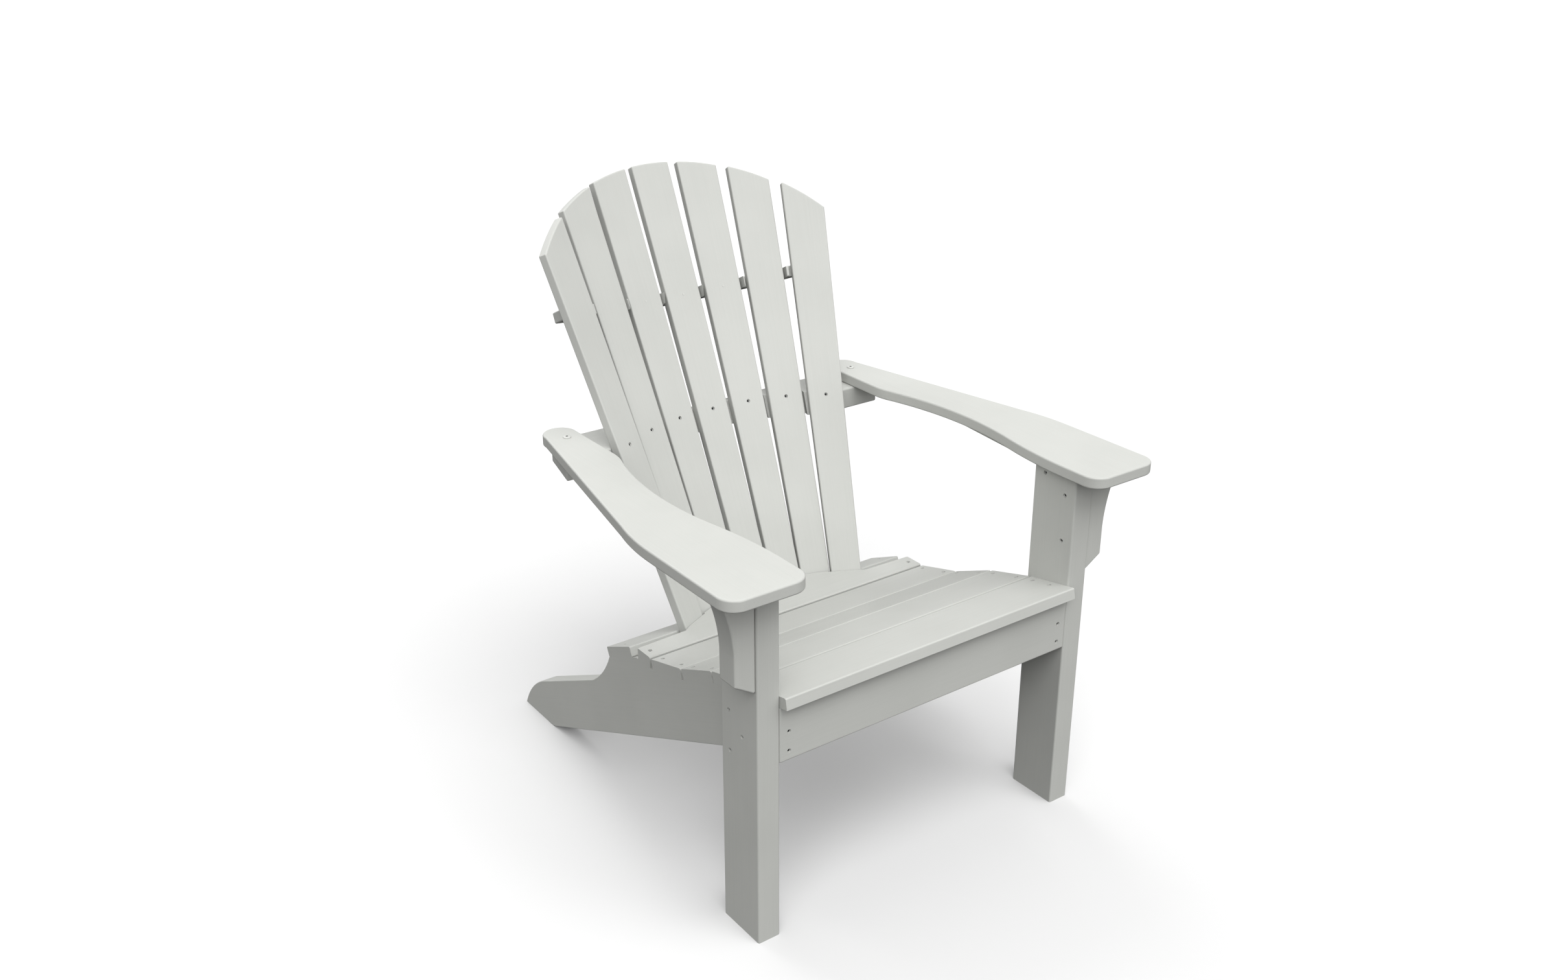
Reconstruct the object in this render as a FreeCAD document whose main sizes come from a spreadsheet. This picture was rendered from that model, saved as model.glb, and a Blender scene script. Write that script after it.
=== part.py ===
"""Adirondack chair: fixed boards of heavy lumber and slat stock, held together by screws.

Millimetres, +Z up. The front of the chair faces -Y and +X is the sitter's right-hand side as seen
from the front. The origin is on the floor, in the middle of the chair's width and depth. Heights and
depths in the sheet are given from the floor and from the front faces of the front legs.
"""

import FreeCAD, Part
import math
import os
import Sketcher
from FreeCAD import Placement, Rotation, Vector

doc = FreeCAD.newDocument("adirondack_chair")

# ---------------------------------------------------------------- driving dimensions
SIZES = {
    # the frame
    "frontReach": -55.0,       # front ends of the arms
    "rearReach": 808.0,        # rear tips of the side rails
    "innerHalf": 280.5,        # middle of the chair to the inner faces of the front legs
    "heavyLumber": 38.1,       # thickness of legs, brackets, battens and arm-level rail
    "boardWidth": 88.9,        # width of legs, apron and seat boards
    "railThickness": 32.0,
    "edgeRound": 3.0,          # rounded edges of heavy boards and arms
    "slatRound": 2.4,          # rounded edges of thinner boards
    "railRound": 1.2,
    "armUnderside": 593.0,
    "armThickness": 19.0,
    "apronThickness": 19.0,
    "apronUnderside": 299.1,
    "railPitch": 24.4,         # slope of the side rails in degrees
    # the seat
    "seatThickness": 18.0,
    "seatLength": 561.0,
    "seatGap": 3.6,
    "frontSlatWidth": 96.6,
    "seatFront": -13.4,
    "seatFrontTop": 411.5,
    "seatScrewAcross": 268.0,
    "rearSeatStep": 1.8,       # the flat rear board stands this much above its neighbour
    # the back
    "backThickness": 16.0,
    "backLevel": 593.0,        # height at which each back slat's place is given
    "backCentreDepth": 579.9,
    "backHalfWidth": 30.4,     # half the slat's width at that height
    "backTaper": 0.0126,       # gain of half width for each millimetre along the slat
    "backFoot": 254.0,
    "backRecline": 25.1,       # the middle slat's
    "archRadius": 396.0,
    "archTop": 981.5,
    # rails behind the back
    "upperRailHalf": 315.0,      # half width at the front; the ends taper like the arms
    "upperRailTaper": 21.0,
    "upperRailFront": 524.0,
    "upperRailRear": 612.0,
    "upperRailThickness": 37.0,
    "crossThickness": 18.0,
    "lowerRailWidth": 82.0,
    "stripLevel": 768.0,       # mid-thickness of the top strip at the middle slat's back
    "stripDepth": 679.5,
    "stripWidth": 34.0,
    # screws
    "screwHead": 6.4,
    "screwShank": 3.8,
    "screwHeadDeep": 2.6,
    "screwSocket": 4.0,
    "screwSocketDeep": 2.0,
    "screwSunk": 2.0,
    "panHead": 13.0,
    "panHeight": 2.2,
    "panSocketDeep": 1.4,
    "screwClear": 0.1,
}

sheet = doc.addObject("Spreadsheet::Sheet", "Sizes")
for row, (alias, value) in enumerate(SIZES.items(), start=1):
    sheet.set(f"A{row}", alias)
    sheet.set(f"B{row}", str(value))
    sheet.setAlias(f"B{row}", alias)
doc.recompute()


def size(alias):
    return float(getattr(sheet, alias))


FRONT_TO_MIDDLE = (size("frontReach") + size("rearReach")) / 2
LEFT, RIGHT = -1, 1
SIDE_NAME = {LEFT: "left", RIGHT: "right"}
LEG_OUTER = size("innerHalf") + size("heavyLumber")


def at(x, y, z):
    """A point of the assembly from width, depth behind the leg fronts and height."""
    return Vector(x, y - FRONT_TO_MIDDLE, z)


# ---------------------------------------------------------------- making one board
PLANE_TURN = {
    "XY_Plane": Rotation(),
    "XZ_Plane": Rotation(Vector(1, 0, 0), 90),
    "YZ_Plane": Rotation(Vector(1, 1, 1), 120),
}


def outline_board(name, plane, path, thickness, edge_round, placement, is_sharp=None):
    """Pads a closed outline, both ways from the plane, and rounds its edges.

    path lists the outline's corners in order; a corner given as (through, end) is an arc that passes
    through the first point and stops at the second. is_sharp picks the edges that stay square.
    """
    body = doc.addObject("PartDesign::Body", name + "_blank")
    sketch = body.newObject("Sketcher::SketchObject", name + "_outline")
    origin_plane = [part for part in body.Origin.OriginFeatures if part.Role == plane][0]
    sketch.AttachmentSupport = [(origin_plane, "")]
    sketch.MapMode = "FlatFace"
    last = path[-1][-1] if isinstance(path[-1][0], tuple) else path[-1]
    for corner in path:
        start = Vector(*last, 0)
        if isinstance(corner[0], tuple):
            through, end = (Vector(*point, 0) for point in corner)
            sketch.addGeometry(Part.Arc(start, through, end), False)
            last = corner[-1]
        else:
            end = Vector(*corner, 0)
            sketch.addGeometry(Part.LineSegment(start, end), False)
            last = corner
    for edge in range(sketch.GeometryCount):
        follower = (edge + 1) % sketch.GeometryCount
        sketch.addConstraint(Sketcher.Constraint("Coincident", edge, end_of(sketch, edge, follower),
                                                 follower, start_of(sketch, edge, follower)))
    pad = body.newObject("PartDesign::Pad", name + "_pad")
    pad.Profile = sketch
    pad.Midplane = True
    pad.setExpression("Length", thickness)
    doc.recompute()
    if edge_round:
        rounding = body.newObject("PartDesign::Fillet", name + "_rounding")
        rounding.Base = (pad, [])
        rounding.UseAllEdges = is_sharp is None
        if is_sharp:
            rounding.Base = (pad, [f"Edge{place}" for place, edge in enumerate(pad.Shape.Edges, start=1)
                                   if not is_sharp(edge.BoundBox)])
        rounding.setExpression("Radius", "Sizes." + edge_round)
    body.Placement = placement
    doc.recompute()
    return body


def touching(sketch, edge, follower):
    """Which ends of two neighbouring sketch edges meet, as Sketcher's point numbers."""
    ends = [(a, b) for a in (1, 2) for b in (1, 2)]

    def apart(pair):
        return (sketch.getPoint(edge, pair[0]) - sketch.getPoint(follower, pair[1])).Length

    return min(ends, key=apart)


def end_of(sketch, edge, follower):
    return touching(sketch, edge, follower)[0]


def start_of(sketch, edge, follower):
    return touching(sketch, edge, follower)[1]


def plain_board(name, width, depth, height, edge_round, placement, top_only=False):
    """A sawn board centred on its own origin, its sizes sheet expressions.

    Its long edges are rounded, or only the two of them on its upper face.
    """
    box = doc.addObject("Part::Box", name + "_box")
    for side, formula in (("Length", width), ("Width", depth), ("Height", height)):
        box.setExpression(side, formula)
    doc.recompute()
    turn = placement.Rotation
    corner = Vector(-box.Length.Value / 2, -box.Width.Value / 2, -box.Height.Value / 2)
    box.Placement = Placement(placement.Base + turn.multVec(corner), turn)
    rounding = doc.addObject("Part::Fillet", name + "_blank")
    rounding.Base = box
    radius = size(edge_round)
    longest = max(edge.Length for edge in box.Shape.Edges)
    upper = box.Height.Value / 2 if top_only else -box.Height.Value
    rounding.Edges = [(number, radius, radius) for number, edge in enumerate(box.Shape.Edges, start=1)
                      if edge.Length > longest - 0.1
                      and placement.inverse().multVec(edge.CenterOfMass).z > upper - 0.1]
    doc.recompute()
    return rounding


# ---------------------------------------------------------------- front legs
boards = {}
for side in (LEFT, RIGHT):
    name = "front_leg_" + SIDE_NAME[side]
    middle = at(side * (size("innerHalf") + size("heavyLumber") / 2), size("boardWidth") / 2,
                size("armUnderside") / 2)
    boards[name] = plain_board(name, "Sizes.heavyLumber", "Sizes.boardWidth", "Sizes.armUnderside",
                               "edgeRound", Placement(middle, Rotation()))

# ---------------------------------------------------------------- seat line
# Each seat board lies on one straight stretch of the side rails; its slope is in degrees.
SEAT_SLOPES = (10.9, 16.1, 23.2, 15.3)
seams = [(size("seatFront"), size("seatFrontTop"))]
for slope in SEAT_SLOPES:
    reach = size("boardWidth") + size("seatGap")
    if len(seams) == 1:
        reach = size("frontSlatWidth") + size("seatGap") / 2
    turn = math.radians(slope)
    seams.append((seams[-1][0] + reach * math.cos(turn), seams[-1][1] - reach * math.sin(turn)))


def under_seat(first, second, slope):
    """Where the undersides of two neighbouring seat boards meet, below their shared seam."""
    middle = math.radians((first + second) / 2)
    half_bend = math.radians((second - first) / 2)
    drop = size("seatThickness") / math.cos(half_bend)
    depth, height = seams[slope]
    return (depth - drop * math.sin(middle), height - drop * math.cos(middle))


rear_seat_top = seams[4][1] + size("rearSeatStep")
rear_seat_under = seams[4][1] - size("seatThickness")

# ---------------------------------------------------------------- side rails
pitch = math.tan(math.radians(size("railPitch")))
FOOT_HEEL = 701.6
foot_front = (FOOT_HEEL, 0.0)
rail_front = size("apronThickness")
rail_front_under = (rail_front, (FOOT_HEEL - rail_front) * pitch)
first_slope = math.tan(math.radians(SEAT_SLOPES[0]))
rail_front_top = (rail_front, size("seatFrontTop") - (rail_front - size("seatFront")) * first_slope
                  - size("seatThickness") / math.cos(math.radians(SEAT_SLOPES[0])))
hollow_top = (480.0, 247.5)
flat_end = (hollow_top[0] - (rear_seat_under - hollow_top[1]) / pitch, rear_seat_under)
rail_path = [
    rail_front_under,
    rail_front_top,
    under_seat(SEAT_SLOPES[0], SEAT_SLOPES[1], 1),
    under_seat(SEAT_SLOPES[1], SEAT_SLOPES[2], 2),
    under_seat(SEAT_SLOPES[2], SEAT_SLOPES[3], 3),
    under_seat(SEAT_SLOPES[3], 0.0, 4),
    flat_end,
    hollow_top,
    ((503.0, 210.0), (541.0, 175.0)),
    (722.0, 85.0),
    ((782.0, 41.0), (size("rearReach"), 0.0)),
    foot_front,
]


def under_the_seat(box):
    """Whether a rail's edge is one of those that the seat boards and the apron lie against."""
    return box.YMin < flat_end[0] + 1 and box.YMax < hollow_top[0] + 1 and box.ZMax > hollow_top[1] - 1


for side in (LEFT, RIGHT):
    name = "side_rail_" + SIDE_NAME[side]
    middle = side * (size("innerHalf") - size("railThickness") / 2)
    boards[name] = outline_board(name, "YZ_Plane", rail_path, "Sizes.railThickness", "railRound",
                                 Placement(at(middle, 0, 0), Rotation()), under_the_seat)

# ---------------------------------------------------------------- front apron
apron_path = [
    (0.0, size("apronUnderside")),
    (size("apronThickness"), size("apronUnderside")),
    (rail_front_top[0], rail_front_top[1] - 0.2),
    (0.0, rail_front_top[1] - 0.2 + rail_front * first_slope),
]
boards["front_apron"] = outline_board("front_apron", "YZ_Plane", apron_path, "2 * Sizes.innerHalf",
                                      "slatRound", Placement(at(0, 0, 0), Rotation()))

# ---------------------------------------------------------------- seat slats
seat_turns = []
for number in range(1, 5):
    slope = SEAT_SLOPES[number - 1]
    width = "Sizes.frontSlatWidth" if number == 1 else "Sizes.boardWidth"
    turn = Rotation(Vector(1, 0, 0), -slope)
    along = turn.multVec(Vector(0, 1, 0))
    up = turn.multVec(Vector(0, 0, 1))
    start = at(0, *seams[number - 1])
    reach = size("frontSlatWidth") / 2
    if number > 1:
        reach = (size("boardWidth") + size("seatGap")) / 2
    middle = start + along * reach - up * (size("seatThickness") / 2)
    seat_turns.append((middle, along, up))
    name = f"seat_slat_{number}"
    boards[name] = plain_board(name, "Sizes.seatLength", width, "Sizes.seatThickness", "slatRound",
                               Placement(middle, turn), top_only=True)

# ---------------------------------------------------------------- back slats
# Each slat is given by the place of its face at one height. The row is a shallow shell: the middle slat
# is the deepest and the outer ones come forward and turn inwards.
# Turn is about the vertical, and lean is in the slat's own plane, both in degrees.
SLAT_PLACES = {
    # across, forward, turn, recline, lean
    0: (0.0, 0.0, 0.0, size("backRecline"), 0.0),
    1: (69.9, 4.9, 8.4, 24.6, -1.28),
    2: (136.8, 24.0, 16.1, 23.9, -1.78),
    3: (198.8, 57.6, 26.0, 23.2, -2.75),
}


def slat_frame(number):
    """Placement of a slat: X across its face, Y from face to back, Z along it."""
    across, forward, turn, recline, lean = SLAT_PLACES[abs(number)]
    side = -1 if number < 0 else 1
    spot = at(side * across, size("backCentreDepth") - forward, size("backLevel"))
    turned = Rotation(Vector(0, 0, 1), -side * turn)
    reclined = Rotation(Vector(1, 0, 0), -recline)
    leant = Rotation(Vector(0, 1, 0), side * lean)
    return Placement(spot, turned.multiply(reclined).multiply(leant))


def slat_axis(number):
    return slat_frame(number).Rotation.multVec(Vector(0, 0, 1))


def half_width(along):
    return size("backHalfWidth") + size("backTaper") * along


def arch_height(unrolled):
    return size("archTop") - size("archRadius") + math.sqrt(size("archRadius") ** 2 - unrolled ** 2)


SLAT_NUMBERS = range(-3, 4)
for number in SLAT_NUMBERS:
    rise = slat_axis(number).z
    foot = (size("backFoot") - size("backLevel")) / rise
    top_half = half_width((size("archTop") - size("backLevel")) / rise)
    tops = []
    for share in (-1, 0, 1):
        height = arch_height((2 * number + share) * top_half)
        tops.append((share * top_half, (height - size("backLevel")) / rise))
    slat_path = [
        (-half_width(foot), foot),
        (half_width(foot), foot),
        tops[2],
        (tops[1], tops[0]),
    ]
    frame = slat_frame(number)
    middle = frame.multiply(Placement(Vector(0, size("backThickness") / 2, 0), Rotation()))
    name = f"back_slat_{number + 4}"
    boards[name] = outline_board(name, "XZ_Plane", slat_path, "Sizes.backThickness", "slatRound",
                                 middle)


# ---------------------------------------------------------------- boards that meet the back
def back_space(name, near, far, side_margin, outer_margin):
    """The space before or behind the row of slats: one block for each, measured from its face."""
    blocks = []
    for number in SLAT_NUMBERS:
        half = size("backHalfWidth") + side_margin
        left = half + (outer_margin if number == -3 else 0)
        right = half + (outer_margin if number == 3 else 0)
        block = Part.makeBox(left + right, far - near, 1000, Vector(-left, near, -500))
        block.Placement = slat_frame(number)
        blocks.append(block)
    space = doc.addObject("Part::Feature", name)
    space.Shape = blocks[0].fuse(blocks[1:])
    return space


def fitted(name, blank, space):
    cut = doc.addObject("Part::Cut", name + "_fitted")
    cut.Base = blank
    cut.Tool = space
    doc.recompute()
    return cut


before_back = back_space("space_before_back", -300.0, size("backThickness"), 6.0, 200.0)
before_back_tops = back_space("space_before_tops", -300.0, size("backThickness"), 8.5, 200.0)
behind_back = back_space("space_behind_back", -1.0, 200.0, 2.0, 0.0)

# The rear seat slat lies flat; its rear edge follows the feet of the back slats.
SEAT_REAR_END = 384.3
SEAT_REAR_HALF = 187.0
seat_front = seams[4][0] + size("seatGap") / 2
half_seat = size("seatLength") / 2
rear_slat_path = [
    (-half_seat, seat_front),
    (half_seat, seat_front),
    (half_seat, SEAT_REAR_END),
    (SEAT_REAR_HALF, SEAT_REAR_END + 4),
    ((0.0, 449.0), (-SEAT_REAR_HALF, SEAT_REAR_END + 4)),
    (-half_seat, SEAT_REAR_END),
]
rear_slat_middle = (rear_seat_top + rear_seat_under) / 2
blank = outline_board("seat_slat_5", "XY_Plane", rear_slat_path,
                      "Sizes.seatThickness + Sizes.rearSeatStep", "slatRound",
                      Placement(at(0, 0, rear_slat_middle), Rotation()),
                      lambda box: box.YMax > seat_front + 1 or box.ZMax < 0 or box.XLength < 1)
boards["seat_slat_5"] = fitted("seat_slat_5", blank, behind_back)

# The lower back rail lies on the sloping tops of the side rails, square to the back slats.
rail_turn = Rotation(Vector(1, 0, 0), -size("railPitch"))
rail_along = rail_turn.multVec(Vector(0, 1, 0))
rail_up = rail_turn.multVec(Vector(0, 0, 1))
lower_rail_middle = (at(0, *hollow_top) - rail_along * (size("lowerRailWidth") / 2 + 2)
                     + rail_up * (size("crossThickness") / 2))
blank = plain_board("lower_back_rail", "2 * Sizes.innerHalf", "Sizes.lowerRailWidth",
                    "Sizes.crossThickness", "slatRound", Placement(lower_rail_middle, rail_turn))
boards["lower_back_rail"] = fitted("lower_back_rail", blank, before_back)

# The upper back rail carries the rear ends of the arms; its front edge is cut to each slat's back.
rear_half = size("upperRailHalf") - size("upperRailTaper")
upper_rail_path = [
    (-size("upperRailHalf"), size("upperRailFront")),
    (size("upperRailHalf"), size("upperRailFront")),
    (rear_half, size("upperRailRear")),
    (-rear_half, size("upperRailRear")),
]
upper_rail_height = size("armUnderside") - size("upperRailThickness") / 2
upper_rail_place = Placement(at(0, 0, upper_rail_height), Rotation())
blank = outline_board("upper_back_rail", "XY_Plane", upper_rail_path, "Sizes.upperRailThickness",
                      "edgeRound", upper_rail_place)
boards["upper_back_rail"] = fitted("upper_back_rail", blank, before_back)

# The top strip is an arched board, square to the slats, whose front edge meets their backs.
STRIP_HALF = 256.0
STRIP_SAG = 67.0
strip_width = size("stripWidth")
strip_path = [
    (-STRIP_HALF, -STRIP_SAG - 20),
    ((0.0, -20.0), (STRIP_HALF, -STRIP_SAG - 20)),
    (STRIP_HALF, strip_width - STRIP_SAG),
    ((0.0, strip_width), (-STRIP_HALF, strip_width - STRIP_SAG)),
]
strip_turn = Rotation(Vector(1, 0, 0), -size("backRecline"))
blank = outline_board("top_back_strip", "XY_Plane", strip_path, "Sizes.crossThickness", "slatRound",
                      Placement(at(0, size("stripDepth"), size("stripLevel")), strip_turn))
boards["top_back_strip"] = fitted("top_back_strip", blank, before_back_tops)

# ---------------------------------------------------------------- arms, brackets and battens
ARM_FRONT_OUTER = 400.2
ARM_FRONT_INNER = 265.0
ARM_CORNER = 28.0
front = size("frontReach")
bevel = ARM_CORNER * (1 - math.sqrt(0.5))
arm_path = [
    (ARM_FRONT_INNER, front + ARM_CORNER),
    ((ARM_FRONT_INNER + bevel, front + bevel), (ARM_FRONT_INNER + ARM_CORNER, front)),
    (ARM_FRONT_OUTER - ARM_CORNER, front),
    ((ARM_FRONT_OUTER - bevel, front + bevel), (ARM_FRONT_OUTER, front + ARM_CORNER)),
    (399.8, 136.0),
    ((397.0, 184.0), (388.3, 230.0)),
    (316.6, 587.0),
    ((288.5, 616.5), (261.5, 588.0)),
    (260.8, 466.0),
    ((262.2, 447.0), (267.0, 429.0)),
    ((291.0, 273.0), (278.5, 148.0)),
    ((268.5, 80.0), (265.2, 20.0)),
]
BRACKET_MIDDLE = 22.0
arm_bottom = size("armUnderside")
bracket_path = [
    (LEG_OUTER, 424.0),
    (352.7, 444.6),
    (353.0, 492.0),
    ((361.2, 545.0), (380.0, arm_bottom)),
    (LEG_OUTER, arm_bottom),
]
BATTEN_FRONT = (47.0, 561.5)
BATTEN_REAR = (349.0, 581.0)
batten_path = [
    BATTEN_FRONT,
    BATTEN_REAR,
    (BATTEN_REAR[0], arm_bottom),
    (BATTEN_FRONT[0], arm_bottom),
]


def sided(path, side):
    """The same outline for either side: width is measured away from the chair's middle."""
    return [tuple((side * x, y) for x, y in corner) if isinstance(corner[0], tuple)
            else (side * corner[0], corner[1]) for corner in path]


for side in (LEFT, RIGHT):
    suffix = SIDE_NAME[side]
    name = "arm_" + suffix
    arm_middle = arm_bottom + size("armThickness") / 2
    boards[name] = outline_board(name, "XY_Plane", sided(arm_path, side), "Sizes.armThickness",
                                 "edgeRound", Placement(at(0, 0, arm_middle), Rotation()))
    name = "arm_bracket_" + suffix
    boards[name] = outline_board(name, "XZ_Plane", sided(bracket_path, side), "Sizes.heavyLumber",
                                 "edgeRound", Placement(at(0, BRACKET_MIDDLE, 0), Rotation()))
    name = "arm_batten_" + suffix
    batten_middle = side * (LEG_OUTER + size("heavyLumber") / 2)
    boards[name] = outline_board(name, "YZ_Plane", batten_path, "Sizes.heavyLumber", "edgeRound",
                                 Placement(at(batten_middle, 0, 0), Rotation()))


# ---------------------------------------------------------------- screws
# A screw stands with the top of its head at its own origin and its point towards -Z.
def hexagon(across):
    corner = across / math.sqrt(3)
    turns = [math.radians(60 * step) for step in range(7)]
    return Part.Face(Part.makePolygon([Vector(corner * math.cos(a), corner * math.sin(a), 0)
                                       for a in turns]))


def screw_solid(length, pan, grow):
    """A countersunk or pan-head screw; grow makes it the hole that the screw fits."""
    shank = size("screwShank") / 2 + grow
    point = 5.0
    body = Part.makeCylinder(shank, length - point, Vector(0, 0, 0), Vector(0, 0, -1))
    tip = Part.makeCone(shank, 0.4 + grow, point, Vector(0, 0, point - length), Vector(0, 0, -1))
    if pan:
        head = Part.makeCylinder(size("panHead") / 2 + grow, size("panHeight"))
        body = Part.makeCylinder(shank, length - point + 1.0, Vector(0, 0, 1), Vector(0, 0, -1))
        if not grow:
            rim = [edge for edge in head.Edges if edge.BoundBox.ZMin > size("panHeight") - 0.01]
            head = head.makeFillet(size("panHeight") * 0.6, rim[:1])
        top = size("panHeight")
        socket_deep = size("panSocketDeep")
    else:
        deep = size("screwHeadDeep")
        rim = size("screwHead") / 2 + grow
        head = Part.makeCone(rim, shank, deep, Vector(0, 0, 0), Vector(0, 0, -1))
        top = 0.0
        socket_deep = size("screwSocketDeep")
    screw = body.fuse([tip, head])
    if grow:
        above = Part.makeCylinder(size("screwHead") / 2 + grow, 4.0)
        return screw if pan else screw.fuse(above)
    socket = hexagon(size("screwSocket")).extrude(Vector(0, 0, -socket_deep))
    socket.translate(Vector(0, 0, top))
    return screw.cut(socket).removeSplitter()


screw_groups = {}


def add_screw(group, spot, heading, length, pan=False):
    """Notes one screw: where its head meets the board and which way its point goes."""
    sink = 0.0 if pan else size("screwSunk")
    turn = Rotation(Vector(0, 0, -1), heading)
    screw_groups.setdefault(group, []).append((Placement(spot + heading * sink, turn), length, pan))


LEG_SCREWS = ((70.3, 366.5), (37.5, 338.1), (68.3, 300.8))
APRON_SCREWS = (346.6, 314.7)
BRACKET_SCREWS = (557.2, 479.9)
BATTEN_SCREW = (66.2, 580.5)
UNDER_SCREWS = (210.0, 300.0)
SEAT_SCREWS = ((-6.0, 31.0), (-28.3, 28.3), (-28.3, 28.3), (-28.3, 28.3))
REAR_SEAT_SCREW = 367.0
for side in (LEFT, RIGHT):
    inwards = Vector(-side, 0, 0)
    for depth, height in LEG_SCREWS:
        add_screw("leg_screws", at(side * LEG_OUTER, depth, height), inwards, 62.0)
    for height in APRON_SCREWS:
        add_screw("apron_screws", at(side * 264.3, 0, height), Vector(0, 1, 0), 55.0)
    inner_face = side * size("innerHalf")
    for height in BRACKET_SCREWS:
        add_screw("bracket_screws", at(inner_face, BRACKET_MIDDLE, height), -inwards, 62.0)
    add_screw("batten_screws", at(inner_face, *BATTEN_SCREW), -inwards, 62.0)
    for depth in UNDER_SCREWS:
        share = (depth - BATTEN_FRONT[0]) / (BATTEN_REAR[0] - BATTEN_FRONT[0])
        height = BATTEN_FRONT[1] + share * (BATTEN_REAR[1] - BATTEN_FRONT[1])
        add_screw("arm_under_screws", at(side * 337.6, depth, height), Vector(0, 0, 1), 26.0)
    add_screw("arm_rear_screws", at(side * 288.7, 566.4, arm_bottom + size("armThickness")),
              Vector(0, 0, -1), 48.0, pan=True)
    across = side * size("seatScrewAcross")
    for (middle, along, up), reaches in zip(seat_turns, SEAT_SCREWS):
        for reach in reaches:
            spot = middle + along * reach + up * (size("seatThickness") / 2)
            add_screw("seat_screws", Vector(across, spot.y, spot.z), -up, 45.0)
    add_screw("seat_screws", at(across, REAR_SEAT_SCREW, rear_seat_top), Vector(0, 0, -1), 45.0)
    spot = lower_rail_middle + rail_up * (size("crossThickness") / 2)
    add_screw("lower_rail_screws", Vector(across, spot.y, spot.z), -rail_up, 45.0)

STRIP_BITE = 10.0
strip_up = strip_turn.multVec(Vector(0, 0, 1))
strip_middle = at(0, size("stripDepth"), size("stripLevel"))
for number in SLAT_NUMBERS:
    frame = slat_frame(number)
    into = frame.Rotation.multVec(Vector(0, 1, 0))
    slat_back = frame.Base + into * size("backThickness")
    add_screw("back_middle_screws", frame.Base, into, 33.0)
    to_rail = (lower_rail_middle - slat_back).dot(rail_up) / slat_axis(number).dot(rail_up)
    add_screw("back_foot_screws", frame.Base + slat_axis(number) * to_rail, into, 33.0)
    # from the strip's rear edge, along its mid-plane, a little way into the slat
    to_strip = (strip_middle - slat_back).dot(strip_up) / slat_axis(number).dot(strip_up)
    joint = slat_back + slat_axis(number) * to_strip
    outwards = (into - strip_up * into.dot(strip_up)).normalize()
    through = Part.makeLine(joint, joint + outwards * 100).common(boards["top_back_strip"].Shape)
    reach = max((corner.Point - joint).Length for corner in through.Vertexes)
    add_screw("back_top_screws", joint + outwards * reach, -outwards, reach + STRIP_BITE)


# ---------------------------------------------------------------- drilling and screws
def screw_shapes(screws, grow):
    shapes = []
    for placement, length, pan in screws:
        shape = screw_solid(length, pan, grow)
        shape.Placement = placement
        shapes.append(shape)
    return shapes


holes = [hole for screws in screw_groups.values() for hole in screw_shapes(screws, size("screwClear"))]
nodes = {}
for name, blank in boards.items():
    here = [hole for hole in holes
            if hole.BoundBox.intersect(blank.Shape.BoundBox) and hole.common(blank.Shape).Volume > 0.01]
    if not here:
        nodes[name] = blank
        continue
    tool = doc.addObject("Part::Feature", name + "_holes")
    tool.Shape = Part.makeCompound(here)
    nodes[name] = doc.addObject("Part::Cut", name + "_drilled")
    nodes[name].Base = blank
    nodes[name].Tool = tool
for name, screws in screw_groups.items():
    nodes[name] = doc.addObject("Part::Feature", name)
    nodes[name].Shape = Part.makeCompound(screw_shapes(screws, 0.0))
doc.recompute()

# ---------------------------------------------------------------- writing the pieces
os.makedirs("parts", exist_ok=True)
problems = [item.Name for item in doc.Objects if {"Invalid", "Error"} & set(item.State)]
for name, node in nodes.items():
    node.Label = name
    if node.Shape.isNull() or not node.Shape.isValid():
        problems.append(name)
if problems:
    raise RuntimeError("these pieces failed: " + ", ".join(problems))
for name, node in nodes.items():
    node.Shape.exportStep(f"parts/{name}.step")
    print(name, len(node.Shape.Solids), round(node.Shape.Volume / 1000, 1), "cm3")
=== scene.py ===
import math

import bmesh
import bpy
from mathutils import Euler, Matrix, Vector


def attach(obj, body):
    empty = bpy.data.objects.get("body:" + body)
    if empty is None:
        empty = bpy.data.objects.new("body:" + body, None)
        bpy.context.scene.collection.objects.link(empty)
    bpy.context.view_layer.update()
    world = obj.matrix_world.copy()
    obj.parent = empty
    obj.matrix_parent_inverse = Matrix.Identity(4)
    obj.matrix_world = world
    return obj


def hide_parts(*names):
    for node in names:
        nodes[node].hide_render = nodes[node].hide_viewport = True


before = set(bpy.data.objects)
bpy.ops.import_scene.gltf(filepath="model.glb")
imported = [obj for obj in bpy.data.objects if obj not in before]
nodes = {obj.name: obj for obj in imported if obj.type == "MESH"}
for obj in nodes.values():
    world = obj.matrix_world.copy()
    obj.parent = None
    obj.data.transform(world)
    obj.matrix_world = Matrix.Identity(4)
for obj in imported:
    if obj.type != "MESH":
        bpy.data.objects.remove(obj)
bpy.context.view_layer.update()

# ---------------------------------------------------------------- front legs
# Two uprights of heavy poly lumber: foamed polyethylene with its grey pigment right through, pulled through
# a die and lightly brushed. It has a satin skin with faint streaks along the board, a fine pebble between
# them and slow, cloudy changes of tone. The legs stand on their sawn ends and their long edges are rounded.
MM = 0.001


def linear(hex_colour):
    """An sRGB hex colour as linear red, green, blue and full alpha."""
    channels = [int(hex_colour[place:place + 2], 16) / 255 for place in (1, 3, 5)]
    return [c / 12.92 if c <= 0.04045 else ((c + 0.055) / 1.055) ** 2.4 for c in channels] + [1.0]


def add_node(tree, kind, settings=None, inputs=None):
    """One node of a tree; inputs gives a value or another node's socket for each input's name or place."""
    node = tree.nodes.new(kind)
    for name, value in (settings or {}).items():
        setattr(node, name, value)
    for name, value in (inputs or {}).items():
        if isinstance(value, bpy.types.NodeSocket):
            tree.links.new(value, node.inputs[name])
        else:
            node.inputs[name].default_value = value
    return node


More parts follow.
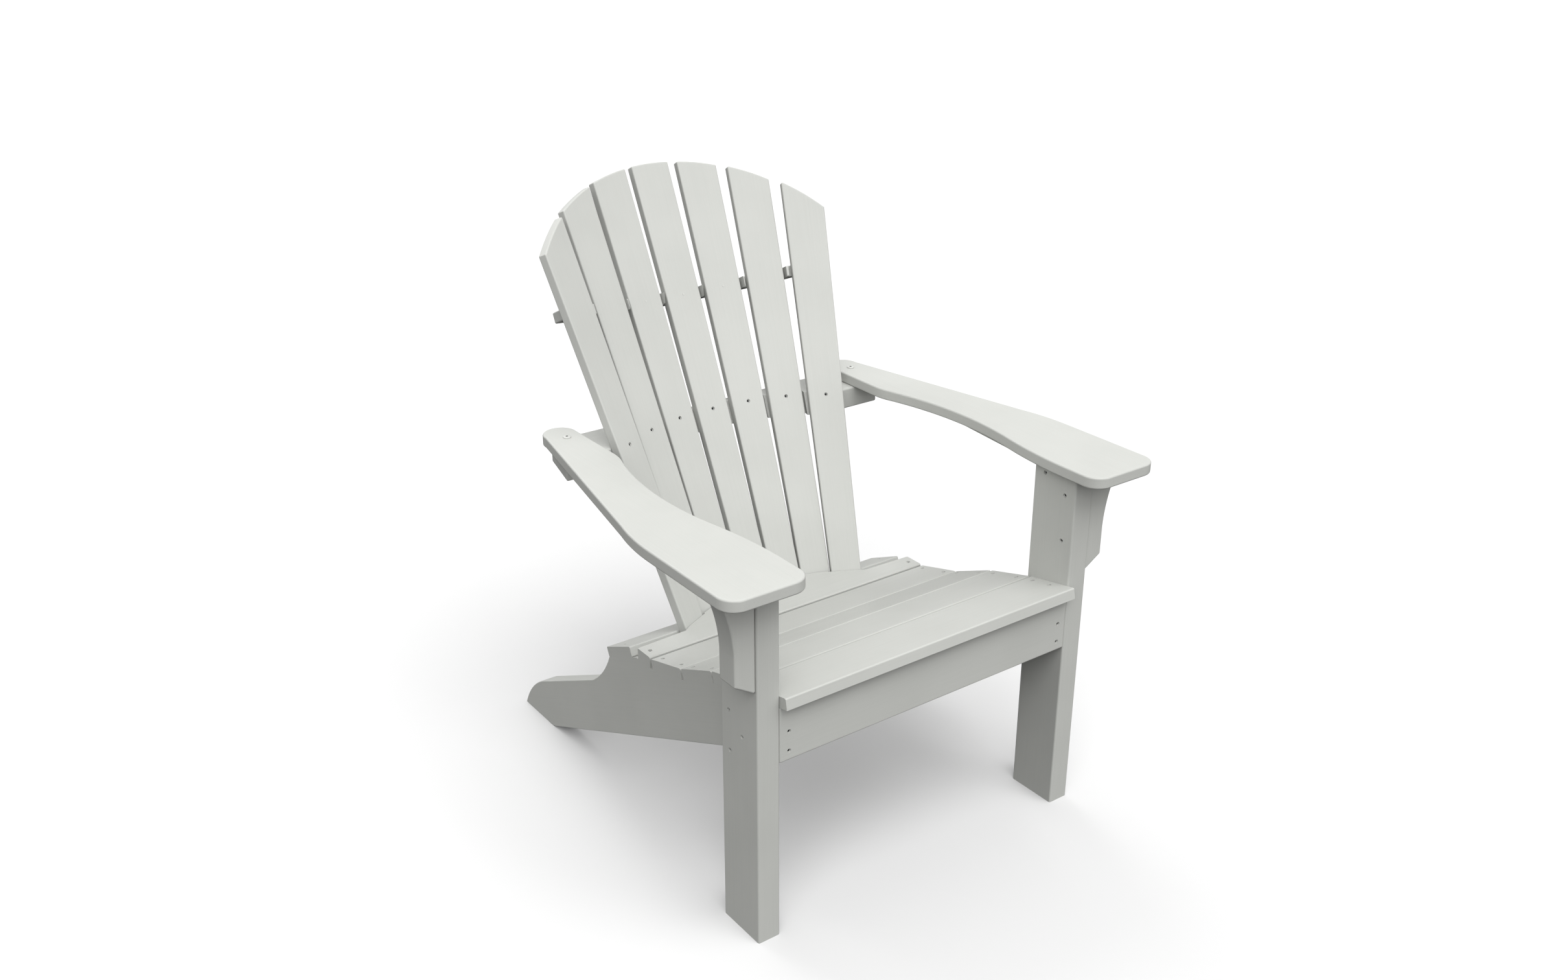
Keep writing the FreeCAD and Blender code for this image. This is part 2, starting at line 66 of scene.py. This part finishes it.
def new_material(name):
    """An empty material and its node tree."""
    material = bpy.data.materials.new(name)
    material.use_nodes = True
    material.node_tree.nodes.clear()
    return material, material.node_tree


LUMBER_PALE = "#B0B1AD"
LUMBER_DEEP = "#ACADA9"
STREAK_WIDTH = 2.4 * MM      # brushed lines; the real ones are finer, and are drawn as coarse as can show
STREAK_LENGTH = 160 * MM
PEBBLE_SIZE = 0.9 * MM
CLOUD_SIZE = 110 * MM
STREAK_TONE = 0.6            # how much the streaks count beside the clouds in the colour
STREAK_RELIEF = 0.8          # and beside the pebble in the relief
RELIEF_DEPTH = 0.15 * MM
RELIEF_STRENGTH = 0.10
DEEP_FROM, PALE_FROM = 0.55, 1.05
LUMBER_ROUGHNESS = (0.44, 0.56)
PEBBLE_RANGE = (0.3, 0.7)
PLASTIC_IOR = 1.5
LUMBER_SHINE = 0.35


def poly_lumber(name, lengthways):
    """Poly lumber with its streaks along a board; lengthways is the direction of the board's length."""
    material, tree = new_material(name)
    turn = Vector(lengthways).rotation_difference(Vector((1, 0, 0))).to_euler()
    place = add_node(tree, "ShaderNodeTexCoord").outputs["Object"]
    board = add_node(tree, "ShaderNodeMapping", None, {"Vector": place, "Rotation": turn}).outputs["Vector"]
    drawn_out = (1 / STREAK_LENGTH, 1 / STREAK_WIDTH, 1 / STREAK_WIDTH)
    drawn = add_node(tree, "ShaderNodeMapping", None, {"Vector": board, "Scale": drawn_out}).outputs["Vector"]
    streaks = add_node(tree, "ShaderNodeTexNoise", None,
                       {"Vector": drawn, "Scale": 1.0, "Detail": 3.0}).outputs["Fac"]
    pebble = add_node(tree, "ShaderNodeTexNoise", None,
                      {"Vector": board, "Scale": 1 / PEBBLE_SIZE, "Detail": 2.0}).outputs["Fac"]
    clouds = add_node(tree, "ShaderNodeTexNoise", None,
                      {"Vector": board, "Scale": 1 / CLOUD_SIZE, "Detail": 3.0}).outputs["Fac"]
    tone = add_node(tree, "ShaderNodeMath", {"operation": "MULTIPLY_ADD"},
                    {0: streaks, 1: STREAK_TONE, 2: clouds}).outputs["Value"]
    colour = add_node(tree, "ShaderNodeValToRGB", None, {"Fac": tone})
    deep, pale = colour.color_ramp.elements
    deep.position, pale.position = DEEP_FROM, PALE_FROM
    deep.color, pale.color = linear(LUMBER_DEEP), linear(LUMBER_PALE)
    relief = add_node(tree, "ShaderNodeMath", {"operation": "MULTIPLY_ADD"},
                      {0: streaks, 1: STREAK_RELIEF, 2: pebble}).outputs["Value"]
    skin = add_node(tree, "ShaderNodeBump", None,
                    {"Strength": RELIEF_STRENGTH, "Distance": RELIEF_DEPTH,
                     "Height": relief}).outputs["Normal"]
    rough = add_node(tree, "ShaderNodeMapRange", None,
                     {"Value": pebble, "From Min": PEBBLE_RANGE[0], "From Max": PEBBLE_RANGE[1],
                      "To Min": LUMBER_ROUGHNESS[0], "To Max": LUMBER_ROUGHNESS[1]}).outputs["Result"]
    lumber = add_node(tree, "ShaderNodeBsdfPrincipled", None,
                      {"Base Color": colour.outputs["Color"], "Roughness": rough, "Normal": skin,
                       "IOR": PLASTIC_IOR, "Specular IOR Level": LUMBER_SHINE})
    add_node(tree, "ShaderNodeOutputMaterial", None, {"Surface": lumber.outputs["BSDF"]})
    return material


def clad(node_name, material):
    """Gives a board its lumber."""
    for slot in nodes[node_name].material_slots:
        slot.material = material


upright_lumber = poly_lumber("upright_poly_lumber", (0, 0, 1))
clad("front_leg_left", upright_lumber)
clad("front_leg_right", upright_lumber)

# ---------------------------------------------------------------- side rails
# The long boards from behind the apron back to the floor, sawn to the seat's line on top and to a rounded
# rear foot. Their lengths slope down to the rear, so the streaks do too.
END_SHARE = 0.1      # the part of a board's length that counts as one of its ends


def lengthways_of(node_name, axis):
    """The way a board runs, from the middle of one end to the middle of the other along an axis."""
    corners = sorted((corner.co for corner in nodes[node_name].data.vertices), key=lambda spot: spot[axis])
    reach = (corners[-1][axis] - corners[0][axis]) * END_SHARE
    near = [spot for spot in corners if spot[axis] < corners[0][axis] + reach]
    far = [spot for spot in corners if spot[axis] > corners[-1][axis] - reach]
    return (sum(far, Vector()) / len(far) - sum(near, Vector()) / len(near)).normalized()


rail_lumber = poly_lumber("rail_poly_lumber", lengthways_of("side_rail_left", 1))
clad("side_rail_left", rail_lumber)
clad("side_rail_right", rail_lumber)

# ---------------------------------------------------------------- apron, seat slats and cross rails
# Boards laid from side to side: the apron between the legs, the seat boards screwed down onto the side
# rails, the lower rail at the foot of the back, the heavy rail at arm height and the thin arched top strip.
cross_lumber = poly_lumber("cross_poly_lumber", (1, 0, 0))
for board_name in ("front_apron", "lower_back_rail", "upper_back_rail", "top_back_strip"):
    clad(board_name, cross_lumber)
SEAT_BOARDS = 5
for number in range(1, SEAT_BOARDS + 1):
    clad(f"seat_slat_{number}", cross_lumber)

# ---------------------------------------------------------------- back slats
# Seven tapered boards in a shallow shell, each turned, laid back and leant a little differently, so each has
# its own lumber with the streaks along its own length. The tops are sawn to one arch.
BACK_SLATS = 7
for number in range(1, BACK_SLATS + 1):
    slat_name = f"back_slat_{number}"
    clad(slat_name, poly_lumber(f"back_poly_lumber_{number}", lengthways_of(slat_name, 2)))

# ---------------------------------------------------------------- arms, brackets and battens
# The arms are sawn from wide boards with a sweep on the inner edge and a rounded nose. Shaped brackets on the
# outer faces of the legs and tapered battens behind them hold the arms up.
arm_lumber = poly_lumber("arm_poly_lumber", (0, 1, 0))
for hand in ("left", "right"):
    clad(f"arm_{hand}", arm_lumber)
    clad(f"arm_batten_{hand}", arm_lumber)
    clad(f"arm_bracket_{hand}", upright_lumber)

# ---------------------------------------------------------------- screws
# Stainless screws with a satin head coat matched to the lumber, so only their recesses catch the eye. The
# countersunk ones are driven a little below the surface, and the pair at the rear of the arms have raised
# pan heads. The six-lobed drive recess is bare steel, and its colour is darkened much further with painted
# shade for the shadow deep inside it.
COAT_GREY = "#B2B3AF"
# The recess colour is painted shade over bare steel: a near-black that stands for the shadow inside the drive
# recess.
RECESS_STEEL_AND_SHADE = "#242528"
RECESS_RADIUS = 2.1 * MM
RECESS_DEPTH = 1.8 * MM
RECESS_RINGS = ((0.0, 1.0), (0.15 * MM, 0.97), (RECESS_DEPTH, 0.86))    # depth, and share of the reach
LOBES = 6
LOBE_DEPTH = 0.3 * MM
HEAD_SIDES = 36
SHANK_RADIUS = 1.8 * MM
POINT_RADIUS = 0.4 * MM
SHANK_SIDES = 16
SHANK_TOP = 2.2 * MM         # how far below the face of the head the shank starts
ORANGE_PEEL_SIZE = 0.5 * MM
ORANGE_PEEL_DEPTH = 0.05 * MM
COAT_ROUGHNESS = 0.38
GRIME_SIZE = 0.8 * MM
RECESS_ROUGHNESS = (0.5, 0.8)

coat, coat_tree = new_material("matched_head_coat")
coat_place = add_node(coat_tree, "ShaderNodeTexCoord").outputs["Object"]
coat_orange_peel = add_node(coat_tree, "ShaderNodeTexNoise", None,
                            {"Vector": coat_place, "Scale": 1 / ORANGE_PEEL_SIZE,
                             "Detail": 2.0}).outputs["Fac"]
coat_skin = add_node(coat_tree, "ShaderNodeBump", None,
                     {"Strength": 0.15, "Distance": ORANGE_PEEL_DEPTH,
                      "Height": coat_orange_peel}).outputs["Normal"]
coat_shader = add_node(coat_tree, "ShaderNodeBsdfPrincipled", None,
                       {"Base Color": linear(COAT_GREY), "Roughness": COAT_ROUGHNESS, "IOR": PLASTIC_IOR,
                        "Normal": coat_skin})
add_node(coat_tree, "ShaderNodeOutputMaterial", None, {"Surface": coat_shader.outputs["BSDF"]})

# Material for the drive recess: bare steel with painted shade, its near-black colour standing for the shadow
# deep in the socket.
recess_steel_and_shade, recess_tree = new_material("dark_recess_steel")
recess_place = add_node(recess_tree, "ShaderNodeTexCoord").outputs["Object"]
recess_grime = add_node(recess_tree, "ShaderNodeTexNoise", None,
                        {"Vector": recess_place, "Scale": 1 / GRIME_SIZE, "Detail": 3.0}).outputs["Fac"]
recess_rough = add_node(recess_tree, "ShaderNodeMapRange", None,
                        {"Value": recess_grime, "To Min": RECESS_ROUGHNESS[0],
                         "To Max": RECESS_ROUGHNESS[1]}).outputs["Result"]
recess_shader = add_node(recess_tree, "ShaderNodeBsdfPrincipled", None,
                         {"Base Color": linear(RECESS_STEEL_AND_SHADE), "Metallic": 0.3, "Roughness": recess_rough})
add_node(recess_tree, "ShaderNodeOutputMaterial", None, {"Surface": recess_shader.outputs["BSDF"]})


def recess_reach(turn):
    """How far the six-lobed recess reaches from the middle of the head at an angle round it."""
    return RECESS_RADIUS - LOBE_DEPTH * (0.5 - 0.5 * math.cos(LOBES * turn))


def in_scene(name, data):
    """A new object in the scene, at the origin."""
    thing = bpy.data.objects.new(name, data)
    bpy.context.scene.collection.objects.link(thing)
    return thing


def head_shape(name, profile, top):
    """A closed screw head: profile lists its outer rings from under the head to the rim of the recess."""
    shape = bmesh.new()
    in_recess = shape.faces.layers.bool.new("in_recess")
    rings = []
    for radius, height in profile:
        rings.append([(radius, height)] * HEAD_SIDES)
    turns = [2 * math.pi * side / HEAD_SIDES for side in range(HEAD_SIDES)]
    for depth, share in RECESS_RINGS:
        rings.append([(recess_reach(turn) * share, top - depth) for turn in turns])
    corners = [[shape.verts.new((reach * math.cos(turn), reach * math.sin(turn), height))
                for (reach, height), turn in zip(ring, turns)] for ring in rings]
    for place, (lower, upper) in enumerate(zip(corners, corners[1:])):
        for side in range(HEAD_SIDES):
            after = (side + 1) % HEAD_SIDES
            face = shape.faces.new((lower[side], lower[after], upper[after], upper[side]))
            face[in_recess] = place >= len(profile)
            face.smooth = True
    shape.faces.new(list(reversed(corners[0])))
    recess_floor = shape.faces.new(corners[-1])
    recess_floor[in_recess] = True
    mesh = bpy.data.meshes.new(name)
    shape.to_mesh(mesh)
    shape.free()
    return in_scene(name, mesh)


# Each head's outline, as radius and height in millimetres, from under the head to the rim of the recess.
SUNK_HEAD = ((1.95, -2.5), (3.05, -0.3), (3.15, -0.12), (3.05, 0.0), (2.3, 0.0))
PAN_HEIGHT = 2.2 * MM
PAN_HEAD = ((2.2, 0.0), (6.2, 0.0), (6.45, 0.25), (6.45, 0.9), (6.2, 1.5), (5.4, 2.0), (4.2, 2.2), (2.8, 2.2))
sunk_head = head_shape("sunk_head", [(r * MM, z * MM) for r, z in SUNK_HEAD], 0.0)
pan_head = head_shape("pan_head", [(r * MM, z * MM) for r, z in PAN_HEAD], PAN_HEIGHT)
WELD = 0.01 * MM             # corners nearer than this are one
END_SLICE = 0.2 * MM         # how much of a screw's length counts as its end
REFININGS = 2


def screw_stances(node_name):
    """For each screw of a group: the middle of its head's top, the way its point goes, and its length."""
    group = bmesh.new()
    group.from_mesh(nodes[node_name].data)
    bmesh.ops.remove_doubles(group, verts=group.verts, dist=WELD)
    waiting = set(group.verts)
    stances = []
    while waiting:
        found = {waiting.pop()}
        edge_of_search = list(found)
        while edge_of_search:
            corner = edge_of_search.pop()
            for edge in corner.link_edges:
                other = edge.other_vert(corner)
                if other not in found:
                    found.add(other)
                    edge_of_search.append(other)
        waiting -= found
        places = [corner.co.copy() for corner in found]
        middle = sum(places, Vector()) / len(places)
        heading = (max(places, key=lambda spot: (spot - middle).length) - middle).normalized()
        for refining in range(REFININGS):
            along = [(spot - middle).dot(heading) for spot in places]
            point_end = [s for s, a in zip(places, along) if a > max(along) - END_SLICE]
            head_end = [s for s, a in zip(places, along) if a < min(along) + END_SLICE]
            top = sum(head_end, Vector()) / len(head_end)
            heading = (sum(point_end, Vector()) / len(point_end) - top).normalized()
        stances.append((top, heading, max(along) - min(along)))
    group.free()
    return sorted(stances, key=lambda stance: tuple(round(v, 4) for v in stance[0]))


def screw_tree(head):
    """Stands a head and its shank on every point, with the face of the head at the point."""
    tree = bpy.data.node_groups.new("screws_on_" + head.name, "GeometryNodeTree")
    face = tree.interface
    face.new_socket("Geometry", in_out="INPUT", socket_type="NodeSocketGeometry")
    for name in ("Shank Radius", "Shank Length", "Shank Start"):
        face.new_socket(name, in_out="INPUT", socket_type="NodeSocketFloat")
    face.new_socket("Geometry", in_out="OUTPUT", socket_type="NodeSocketGeometry")
    given = add_node(tree, "NodeGroupInput").outputs
    shape = add_node(tree, "GeometryNodeObjectInfo", None, {"Object": head}).outputs["Geometry"]
    shank = add_node(tree, "GeometryNodeMeshCone", None,
                     {"Vertices": SHANK_SIDES, "Radius Top": given["Shank Radius"],
                      "Radius Bottom": POINT_RADIUS, "Depth": given["Shank Length"]}).outputs["Mesh"]
    over = add_node(tree, "GeometryNodeTransform", None,
                    {"Geometry": shank, "Rotation": (math.pi, 0, 0)}).outputs["Geometry"]
    offset = add_node(tree, "ShaderNodeCombineXYZ", None, {"Z": given["Shank Start"]}).outputs["Vector"]
    hung = add_node(tree, "GeometryNodeTransform", None,
                    {"Geometry": over, "Translation": offset}).outputs["Geometry"]
    whole = add_node(tree, "GeometryNodeJoinGeometry")
    tree.links.new(shape, whole.inputs["Geometry"])
    tree.links.new(hung, whole.inputs["Geometry"])
    heading = add_node(tree, "GeometryNodeInputNamedAttribute", {"data_type": "FLOAT_VECTOR"},
                       {"Name": "outwards"}).outputs["Attribute"]
    turned = add_node(tree, "FunctionNodeAlignRotationToVector", {"axis": "Z"}, {"Vector": heading})
    spots = add_node(tree, "GeometryNodeMeshToPoints", None, {"Mesh": given["Geometry"]}).outputs["Points"]
    stood = add_node(tree, "GeometryNodeInstanceOnPoints", None,
                     {"Points": spots, "Instance": whole.outputs["Geometry"],
                      "Rotation": turned.outputs["Rotation"]}).outputs["Instances"]
    real = add_node(tree, "GeometryNodeRealizeInstances", None, {"Geometry": stood}).outputs["Geometry"]
    coated = add_node(tree, "GeometryNodeSetMaterial", None, {"Geometry": real, "Material": coat})
    recess = add_node(tree, "GeometryNodeInputNamedAttribute", {"data_type": "BOOLEAN"},
                      {"Name": "in_recess"}).outputs["Attribute"]
    # The recess faces get the material with painted shade, which darkens them to stand for the shadow inside
    # the socket.
    bare_and_shaded = add_node(tree, "GeometryNodeSetMaterial", None,
                    {"Geometry": coated.outputs["Geometry"], "Selection": recess, "Material": recess_steel_and_shade})
    add_node(tree, "NodeGroupOutput", None, {0: bare_and_shaded.outputs["Geometry"]})
    return tree


def drive_screws(node_name, tree, head_height):
    """One group of like screws, as a plain mesh that stands for its node."""
    stances = screw_stances(node_name)
    spots = bpy.data.meshes.new(node_name + "_spots")
    spots.from_pydata([top + heading * head_height for top, heading, length in stances], [], [])
    outwards = spots.attributes.new("outwards", "FLOAT_VECTOR", "POINT")
    for place, (top, heading, length) in enumerate(stances):
        outwards.data[place].vector = -heading
    holder = in_scene(node_name + "_spots", spots)
    modifier = holder.modifiers.new("screws", "NODES")
    modifier.node_group = tree
    screw_length = stances[0][2]
    sizes = {"Shank Radius": SHANK_RADIUS, "Shank Length": screw_length - head_height - SHANK_TOP,
             "Shank Start": -SHANK_TOP}
    for socket in tree.interface.items_tree:
        if socket.name in sizes:
            modifier[socket.identifier] = sizes[socket.name]
    evaluated = holder.evaluated_get(bpy.context.evaluated_depsgraph_get())
    mesh = bpy.data.meshes.new_from_object(evaluated)
    mesh.name = node_name.replace("screws", "screw_set")
    bpy.data.objects.remove(holder)
    screws = in_scene(mesh.name, mesh)
    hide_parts(node_name)
    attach(screws, "root")


sunk_tree = screw_tree(sunk_head)
pan_tree = screw_tree(pan_head)
for node_name in ("leg_screws", "apron_screws", "bracket_screws", "batten_screws", "arm_under_screws",
                  "seat_screws", "lower_rail_screws", "back_middle_screws", "back_foot_screws",
                  "back_top_screws"):
    drive_screws(node_name, sunk_tree, 0.0)
drive_screws("arm_rear_screws", pan_tree, PAN_HEIGHT)
bpy.data.objects.remove(sunk_head)
bpy.data.objects.remove(pan_head)

# ---------------------------------------------------------------- floor
# A seamless pale studio floor, laid flat well past the view. It catches the chair's shadow, but throws no
# light back up at the chair and isn't mirrored in its sheen.
FLOOR_REACH = 60.0
FLOOR_TONE = 0.60
FLOOR_CORNERS = [(x * FLOOR_REACH, y * FLOOR_REACH, 0.0) for x, y in ((-1, -1), (1, -1), (1, 1), (-1, 1))]
floor_mesh = bpy.data.meshes.new("studio_floor")
floor_mesh.from_pydata(FLOOR_CORNERS, [], [(0, 1, 2, 3)])
floor = in_scene("studio_floor", floor_mesh)
floor_paint, floor_tree = new_material("matte_floor_paint")
floor_coat = add_node(floor_tree, "ShaderNodeBsdfDiffuse", None,
                      {"Color": (FLOOR_TONE, FLOOR_TONE, FLOOR_TONE, 1)})
add_node(floor_tree, "ShaderNodeOutputMaterial", None, {"Surface": floor_coat.outputs["BSDF"]})
floor_mesh.materials.append(floor_paint)
floor.visible_diffuse = False
floor.visible_glossy = False

# ---------------------------------------------------------------- light and camera
# An even white tent over the chair with broad softboxes in it, the strongest high in front and a weak one
# low down to fill the faces of the legs. Each is given as a bearing from the front towards the right and a
# rise above the floor, both in degrees, and a strength.
TENT_GLOW = 1.04
LOW_GLOW = 0.08
TENT_HEM = 0.05              # the glow rises over this much of the height on each side of the horizon
SOFTBOX_SPREAD = 40
SOFTBOXES = (
    ("key_softbox", 0, 62, 1.75),
    ("left_softbox", -45, 38, 1.2),
    ("right_softbox", 45, 38, 0.35),
    ("rear_softbox", 180, 38, 1.0),
    ("low_fill", 10, 12, 0.35),
)
world = bpy.data.worlds.new("studio_tent")
bpy.context.scene.world = world
world.use_nodes = True
world.node_tree.nodes.clear()
toward = add_node(world.node_tree, "ShaderNodeTexCoord").outputs["Generated"]
height = add_node(world.node_tree, "ShaderNodeSeparateXYZ", None, {0: toward}).outputs["Z"]
glow = add_node(world.node_tree, "ShaderNodeMapRange", None,
                {"Value": height, "From Min": -TENT_HEM, "From Max": TENT_HEM, "To Min": LOW_GLOW,
                 "To Max": TENT_GLOW})
air = add_node(world.node_tree, "ShaderNodeBackground", None, {"Strength": glow.outputs["Result"]})
add_node(world.node_tree, "ShaderNodeOutputWorld", None, {"Surface": air.outputs["Background"]})

for name, bearing, rise, energy in SOFTBOXES:
    lamp = bpy.data.lights.new(name, "SUN")
    lamp.energy = energy
    lamp.angle = math.radians(SOFTBOX_SPREAD)
    softbox = in_scene(name, lamp)
    round_by, up_by = math.radians(bearing), math.radians(rise)
    level = math.cos(up_by)
    toward_lamp = Vector((level * math.sin(round_by), -level * math.cos(round_by), math.sin(up_by)))
    softbox.rotation_euler = toward_lamp.to_track_quat("Z", "Y").to_euler()

QUARTER_TURN = math.pi / 2
CAMERA_PLACE = Vector((-1.3403, -1.8356, 1.5106))
CAMERA_AZIMUTH = math.radians(36.144)
CAMERA_PITCH = math.radians(23.694)
CAMERA_ROLL = math.radians(-0.054)
FOCAL_LENGTH_MM = 34.94
SENSOR_WIDTH_MM = 36.0
FARTHEST_SEEN = 200.0
camera_data = bpy.data.cameras.new("camera")
camera_data.sensor_width = SENSOR_WIDTH_MM
camera_data.lens = FOCAL_LENGTH_MM
camera_data.clip_end = FARTHEST_SEEN
camera = in_scene("camera", camera_data)
camera.rotation_euler = Euler((QUARTER_TURN - CAMERA_PITCH, CAMERA_ROLL, -CAMERA_AZIMUTH), "XYZ")
camera.location = CAMERA_PLACE
bpy.context.scene.camera = camera
bpy.context.scene.view_settings.view_transform = "Standard"
